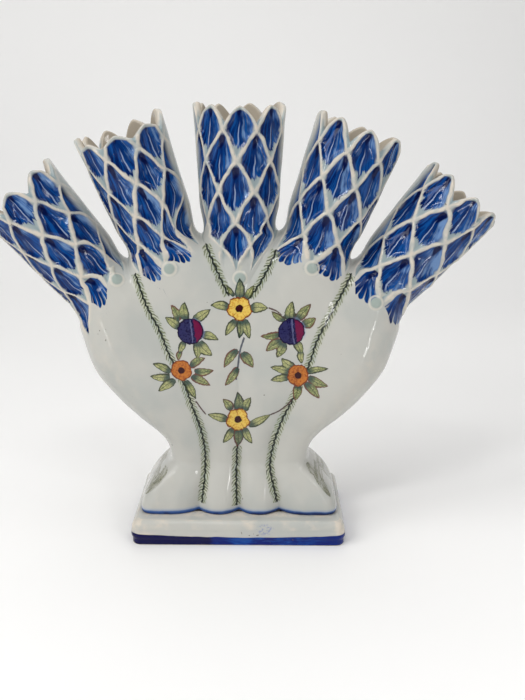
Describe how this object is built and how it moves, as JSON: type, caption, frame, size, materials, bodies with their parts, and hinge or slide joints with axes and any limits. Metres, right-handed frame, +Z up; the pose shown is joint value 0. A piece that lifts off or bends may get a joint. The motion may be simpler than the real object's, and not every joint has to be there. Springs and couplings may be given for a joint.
{
  "type": "tulip vase",
  "caption": "Fan-shaped flower vase with a row of petalled spouts over one lobed hollow body, on a flared foot and a low rectangular plinth",
  "frame": {"origin": "on the table, under the middle of the plinth, which is the middle of the overall box", "axes": "+X along the fan of spouts to the right as seen from the front, -Y towards the front (the side in the picture), +Z up"},
  "size_m": [0.2331, 0.061, 0.2],
  "materials": {
    "white_glaze": "glossy white tin glaze with painted flowers, leaves and a blue base line",
    "net_glaze": "glossy white tin glaze with cobalt-blue leaves painted in a raised net"
  },
  "bodies": {
    "root": {"plinth": "white_glaze", "foot": "white_glaze", "body_front": "white_glaze", "body_back": "white_glaze", "spout_far_left": "net_glaze", "spout_left": "net_glaze", "spout_centre": "net_glaze", "spout_right": "net_glaze", "spout_far_right": "net_glaze"}
  },
  "joints": []
}
